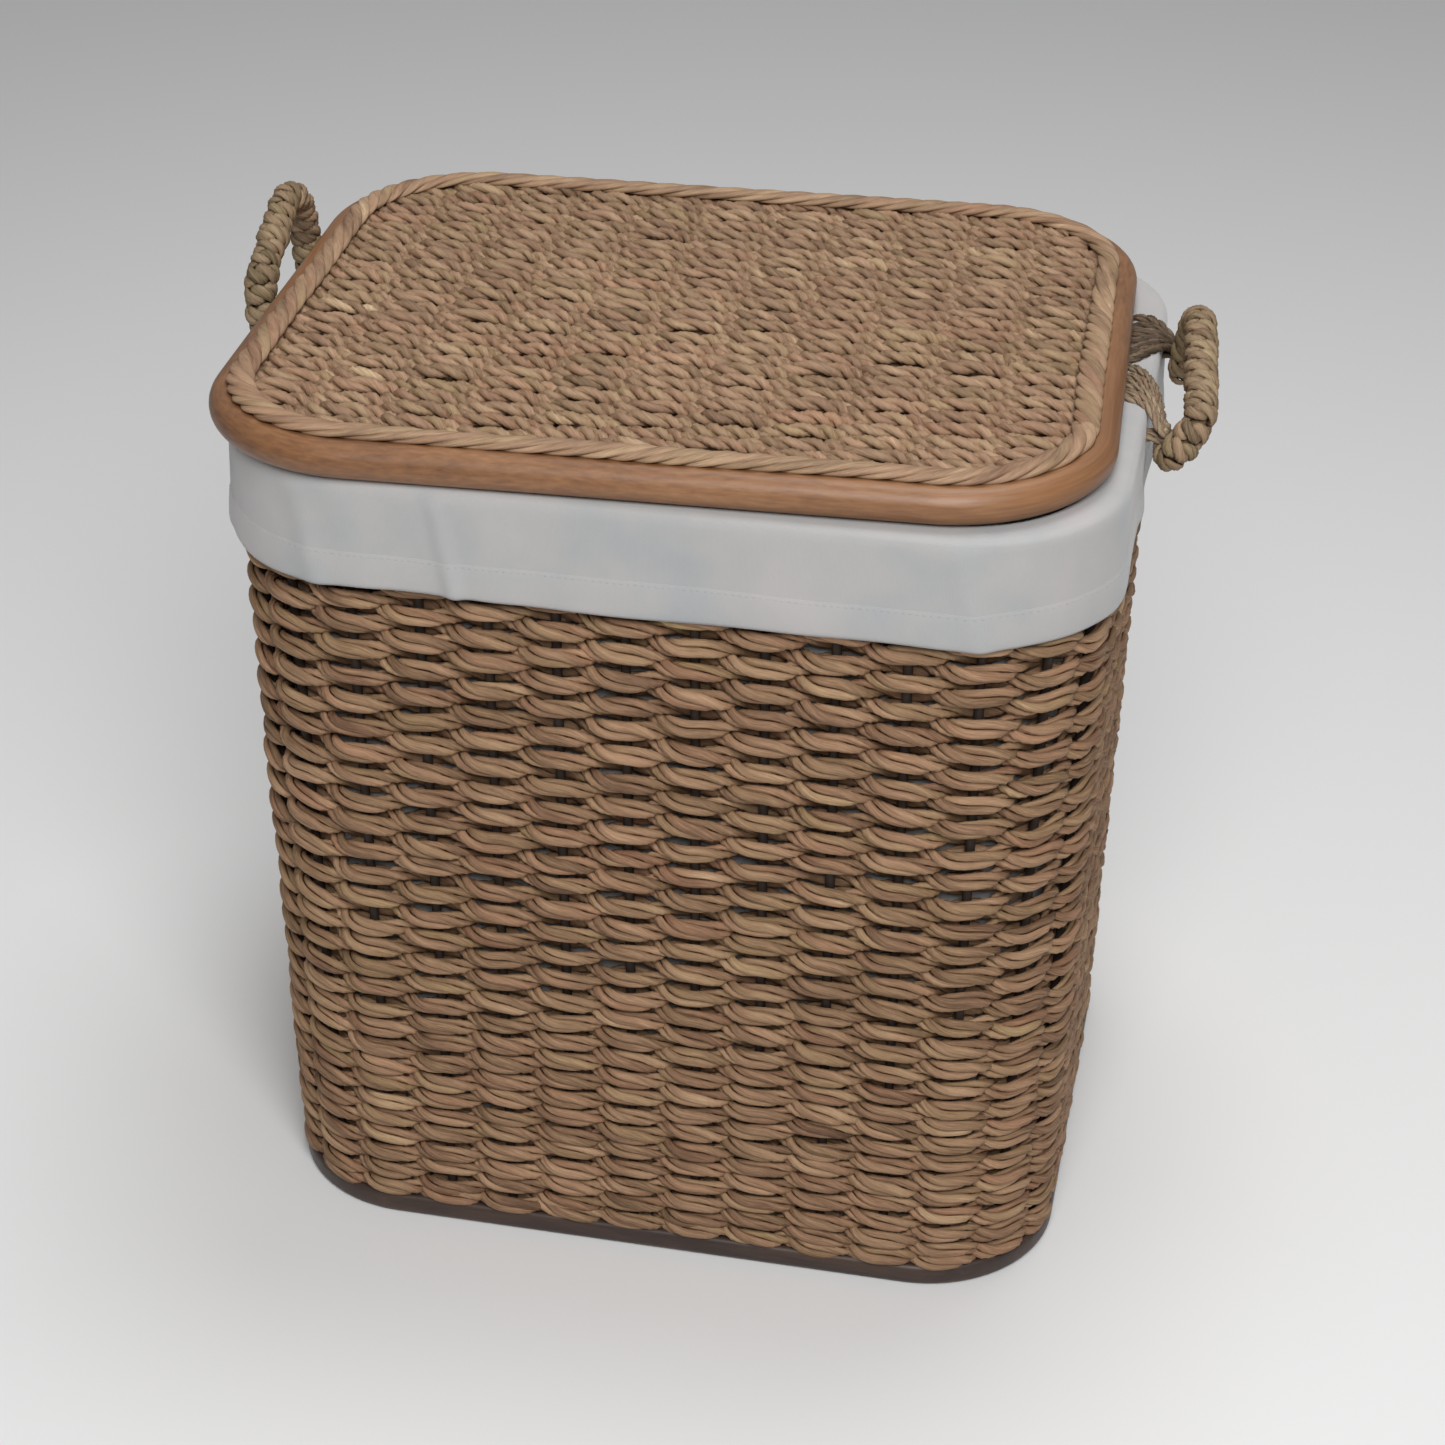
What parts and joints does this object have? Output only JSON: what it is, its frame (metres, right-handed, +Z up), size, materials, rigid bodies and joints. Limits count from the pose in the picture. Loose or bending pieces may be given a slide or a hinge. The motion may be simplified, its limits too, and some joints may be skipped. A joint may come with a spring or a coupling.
{
  "type": "laundry basket",
  "caption": "Rectangular woven seagrass laundry basket with a cotton liner, a loose woven lid in a cane hoop and rope handles that turn at the rim.",
  "frame": {"origin": "centre of the base board's underside, where the basket rests", "axes": "+Z up, +X to the basket's right as seen from its front, +Y to the back; the long side faces -Y"},
  "size_m": [0.5211, 0.3948, 0.5041],
  "materials": {
    "board_dark": "dark brown stain, satin",
    "stake_rattan": "plain peeled rattan, matte",
    "stake_dark": "rattan stained dark brown, matte",
    "seagrass_wall": "twisted natural seagrass cord, matte",
    "seagrass_lid": "twisted natural seagrass cord, matte",
    "seagrass_rope": "seagrass rope, olive and brown strands, matte",
    "seagrass_wrap": "thin seagrass cord, matte",
    "cane_varnished": "bent cane, orange-brown varnish, satin",
    "cotton": "off-white plain-weave cotton, matte"
  },
  "bodies": {
    "basket": {"base_board": "board_dark", "wall_stakes": "stake_dark", "wall_weave": "seagrass_wall", "rim_hoop": "stake_rattan", "rim_wrap": "seagrass_wrap", "liner_bottom": "cotton", "liner_wall": "cotton", "liner_hem": "cotton", "lashing_left_front": "seagrass_wrap", "lashing_left_back": "seagrass_wrap", "lashing_right_front": "seagrass_wrap", "lashing_right_back": "seagrass_wrap"},
    "lid": {"lid_hoop": "cane_varnished", "lid_ribs": "stake_rattan", "lid_weave": "seagrass_lid", "lid_border": "seagrass_lid"},
    "handle_left": {"handle_left_core": "stake_rattan", "handle_left_wrap": "seagrass_rope"},
    "handle_right": {"handle_right_core": "stake_rattan", "handle_right_wrap": "seagrass_rope"}
  },
  "joints": [
    {"name": "lid_lift", "type": "slide", "parent": "basket", "child": "lid", "axis": [0, 0, 1], "range_m": [0, 0.25]},
    {"name": "handle_left_turn", "type": "hinge", "parent": "basket", "child": "handle_left", "pos_m": [-0.25, 0.046, 0.44], "axis": [0, 1, 0], "range_deg": [-172, 0]},
    {"name": "handle_right_turn", "type": "hinge", "parent": "basket", "child": "handle_right", "pos_m": [0.236, 0.004, 0.44], "axis": [0, -1, 0], "range_deg": [-140, 8]}
  ]
}
